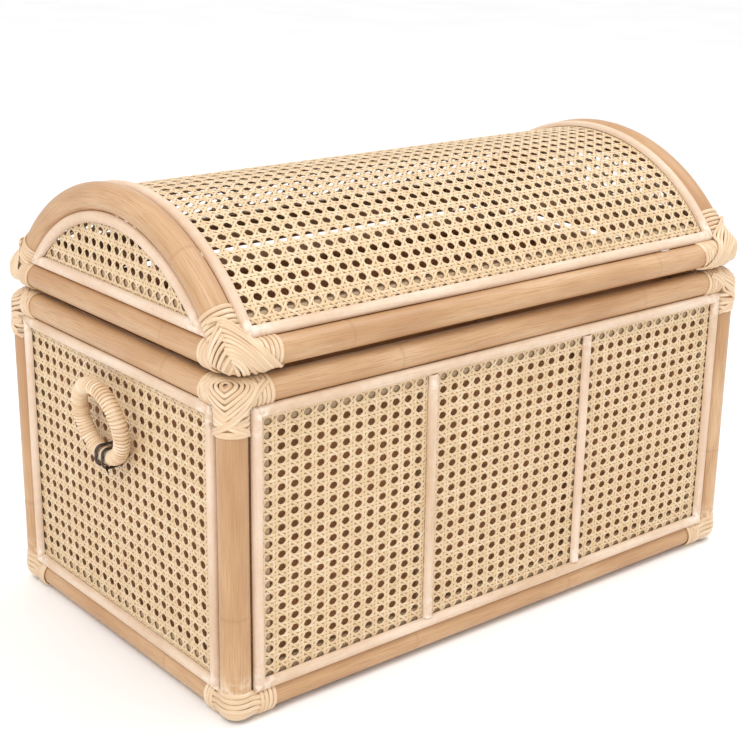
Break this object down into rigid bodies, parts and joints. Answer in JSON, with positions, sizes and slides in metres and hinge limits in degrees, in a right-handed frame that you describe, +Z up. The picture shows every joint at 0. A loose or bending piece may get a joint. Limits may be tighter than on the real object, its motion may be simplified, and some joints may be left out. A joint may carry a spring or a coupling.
{
  "type": "storage trunk",
  "caption": "Rattan storage trunk: pole frame, woven cane walls under half-round mouldings, peel-bound corners, hinged barrel-vault lid and ring handles on the ends.",
  "frame": {"origin": "on the floor under the middle of the trunk", "axes": "+Z up, +X to the right seen from the front, the front faces -Y, the hinges are at +Y"},
  "size_m": [0.6696, 0.377, 0.4271],
  "materials": {
    "pole": "satin peeled rattan pole",
    "moulding": "pale satin rattan core",
    "cane": "satin woven rattan cane",
    "binding": "semi-gloss split rattan peel",
    "batten": "matte sawn wood",
    "board": "matte plywood",
    "lining": "matte brown lining cloth on card",
    "handle_wrap": "semi-gloss split rattan peel",
    "lashing": "dark satin lace",
    "hinge_brass": "satin antique brass",
    "pin_steel": "drawn steel wire",
    "screw_brass": "satin brass"
  },
  "bodies": {
    "trunk": {"base_board": "board", "battens_end_walls": "batten", "battens_long_walls": "batten", "binding_foot_back_left": "binding", "binding_foot_back_right": "binding", "binding_foot_front_left": "binding", "binding_foot_front_right": "binding", "binding_top_back_left": "binding", "binding_top_back_right": "binding", "binding_top_front_left": "binding", "binding_top_front_right": "binding", "bottom_rail_back": "pole", "bottom_rail_front": "pole", "bottom_rail_left": "pole", "bottom_rail_right": "pole", "cane_back": "cane", "cane_front": "cane", "cane_left": "cane", "cane_right": "cane", "handle_lashing_left": "lashing", "handle_lashing_right": "lashing", "hinge_body_leaf_left": "hinge_brass", "hinge_body_leaf_right": "hinge_brass", "hinge_pins": "pin_steel", "hinge_screws_body": "screw_brass", "lining": "lining", "moulding_back": "moulding", "moulding_front": "moulding", "moulding_left": "moulding", "moulding_right": "moulding", "post_back_left": "pole", "post_back_right": "pole", "post_front_left": "pole", "post_front_right": "pole", "top_rail_back": "pole", "top_rail_front": "pole", "top_rail_left": "pole", "top_rail_right": "pole"},
    "lid": {"battens_lid": "batten", "binding_lid_back_left": "binding", "binding_lid_back_right": "binding", "binding_lid_front_left": "binding", "binding_lid_front_right": "binding", "cane_lunette_left": "cane", "cane_lunette_right": "cane", "cane_vault": "cane", "hinge_lid_leaf_left": "hinge_brass", "hinge_lid_leaf_right": "hinge_brass", "hinge_screws_lid": "screw_brass", "lid_arch_left": "pole", "lid_arch_right": "pole", "lid_rail_back": "pole", "lid_rail_front": "pole", "lid_rail_left": "pole", "lid_rail_right": "pole", "moulding_lunette_left": "moulding", "moulding_lunette_right": "moulding", "moulding_vault": "moulding"},
    "handle_left": {"handle_ring_left": "handle_wrap"},
    "handle_right": {"handle_ring_right": "handle_wrap"}
  },
  "joints": [
    {"name": "lid_hinge", "type": "hinge", "parent": "trunk", "child": "lid", "pos_m": [0, 0.1855, 0.30335], "axis": [-1, 0, 0], "range_deg": [0, 100]},
    {"name": "handle_left_swing", "type": "hinge", "parent": "trunk", "child": "handle_left", "pos_m": [-0.3155, 0, 0.188], "axis": [0, -1, 0], "range_deg": [-9, 160]},
    {"name": "handle_right_swing", "type": "hinge", "parent": "trunk", "child": "handle_right", "pos_m": [0.3155, 0, 0.188], "axis": [0, 1, 0], "range_deg": [-9, 160]}
  ]
}
